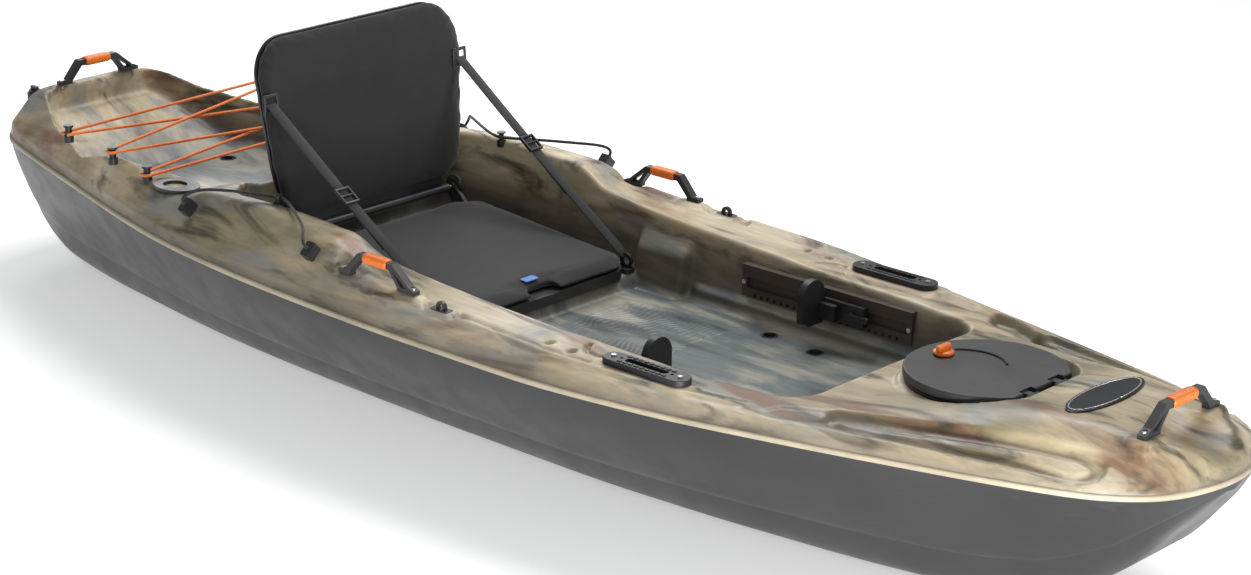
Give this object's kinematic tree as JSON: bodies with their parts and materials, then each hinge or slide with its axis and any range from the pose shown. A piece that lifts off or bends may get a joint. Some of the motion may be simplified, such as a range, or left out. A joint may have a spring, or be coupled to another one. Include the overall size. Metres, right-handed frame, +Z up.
{
  "type": "sit-on-top fishing kayak",
  "caption": "Sit-on-top fishing kayak with folding seat, bow hatch, rear tank well, rod holders, sliding foot braces and carry handles.",
  "frame": {"origin": "on the keel's level bottom at mid-length on the centreline", "axes": "+X towards the bow, +Y to port, +Z up"},
  "size_m": [2.95, 0.8646, 0.668],
  "materials": {
    "hull_plastic": "satin dark grey polyethylene",
    "deck_camouflage": "satin blended tan, olive, brown and grey-blue moulded colour",
    "flotation_foam": "closed-cell foam",
    "black_plastic": "satin moulded",
    "brown_plastic": "satin moulded",
    "orange_plastic": "soft gloss moulded",
    "stainless_steel": "brushed",
    "gasket_rubber": "matte",
    "badge_black": "gloss",
    "orange_cord": "braided sheath",
    "black_cord": "braided sheath",
    "black_webbing": "woven webbing",
    "seat_foam_cover": "fine woven cover over foam",
    "blue_tab": "soft gloss"
  },
  "bodies": {
    "hull": {"hull_shell": "hull_plastic", "bow_deck": "deck_camouflage", "aft_side_decks": "deck_camouflage", "middle_side_decks": "deck_camouflage", "fore_side_decks": "deck_camouflage", "cockpit_tub": "deck_camouflage", "cockpit_tank_bulkhead": "deck_camouflage", "tank_tub": "deck_camouflage", "stern_deck": "deck_camouflage", "scupper_tubes": "hull_plastic", "bow_flotation_foam": "flotation_foam", "stern_flotation_foam": "flotation_foam", "seat_shelf_foam": "flotation_foam", "bow_handle": "black_plastic", "stern_handle": "black_plastic", "starboard_handle": "black_plastic", "port_handle": "black_plastic", "bow_grip": "orange_plastic", "stern_grip": "orange_plastic", "starboard_grip": "orange_plastic", "port_grip": "orange_plastic", "handle_screws": "stainless_steel", "hatch_rim": "black_plastic", "hatch_gasket": "gasket_rubber", "hatch_hinge_pins": "stainless_steel", "starboard_gear_plate": "black_plastic", "port_gear_plate": "black_plastic", "gear_plate_screws": "stainless_steel", "starboard_foot_rail": "brown_plastic", "port_foot_rail": "brown_plastic", "foot_rail_screws": "stainless_steel", "starboard_rod_holder": "black_plastic", "port_rod_holder": "black_plastic", "lacing_eyes": "black_plastic", "pad_eyes": "black_plastic", "keeper_anchors": "black_plastic", "keeper_hooks": "black_plastic", "bow_badge": "badge_black", "drain_socket": "black_plastic", "rear_lacing_cord": "orange_cord", "starboard_paddle_cord": "black_cord", "port_paddle_cord": "black_cord"},
    "seat": {"seat_pan": "black_plastic", "seat_cushion": "seat_foam_cover", "seat_tab": "blue_tab", "seat_hinge_rod": "stainless_steel", "strap_loops": "black_plastic", "starboard_seat_strap": "black_webbing", "port_seat_strap": "black_webbing", "starboard_strap_buckle": "black_plastic", "port_strap_buckle": "black_plastic"},
    "seat_back": {"seat_back_panel": "black_plastic", "seat_back_cushion": "seat_foam_cover"},
    "hatch_lid": {"hatch_lid": "black_plastic"},
    "hatch_knob": {"hatch_knob": "orange_plastic"},
    "starboard_foot_peg": {"starboard_foot_peg": "black_plastic"},
    "port_foot_peg": {"port_foot_peg": "black_plastic"},
    "starboard_peg_latch": {"starboard_peg_latch": "black_plastic"},
    "port_peg_latch": {"port_peg_latch": "black_plastic"},
    "drain_plug": {"drain_plug": "black_plastic"}
  },
  "joints": [
    {"name": "seat_lift", "type": "slide", "parent": "hull", "child": "seat", "axis": [0, 0, 1], "range_m": [0, 0.25]},
    {"name": "seat_back_fold", "type": "hinge", "parent": "seat", "child": "seat_back", "pos_m": [-0.486, 0, 0.284], "axis": [0, 1, 0], "range_deg": [0, 88], "deforming": ["starboard_seat_strap", "port_seat_strap", "starboard_strap_buckle", "port_strap_buckle"]},
    {"name": "hatch_lid_hinge", "type": "hinge", "parent": "hull", "child": "hatch_lid", "pos_m": [1.115, 0, 0.33], "axis": [0, 1, 0], "range_deg": [0, 84]},
    {"name": "hatch_knob_turn", "type": "hinge", "parent": "hatch_lid", "child": "hatch_knob", "pos_m": [0.905, 0, 0.345], "axis": [0, 0, 1], "range_deg": [0, 90]},
    {"name": "starboard_peg_slide", "type": "slide", "parent": "hull", "child": "starboard_foot_peg", "axis": [1, 0, 0], "range_m": [-0.15, 0.08]},
    {"name": "port_peg_slide", "type": "slide", "parent": "hull", "child": "port_foot_peg", "axis": [1, 0, 0], "range_m": [-0.15, 0.08]},
    {"name": "starboard_latch_tilt", "type": "hinge", "parent": "starboard_foot_peg", "child": "starboard_peg_latch", "pos_m": [0.524, -0.236, 0.25], "axis": [0, -1, 0], "range_deg": [0, 15], "stiffness_Nm_per_rad": 0.02},
    {"name": "port_latch_tilt", "type": "hinge", "parent": "port_foot_peg", "child": "port_peg_latch", "pos_m": [0.524, 0.236, 0.25], "axis": [0, -1, 0], "range_deg": [0, 15], "stiffness_Nm_per_rad": 0.02},
    {"name": "drain_plug_turn", "type": "hinge", "parent": "hull", "child": "drain_plug", "pos_m": [-1.446, -0.092, 0.352], "axis": [0, 0, 1], "range_deg": [0, 360]}
  ]
}
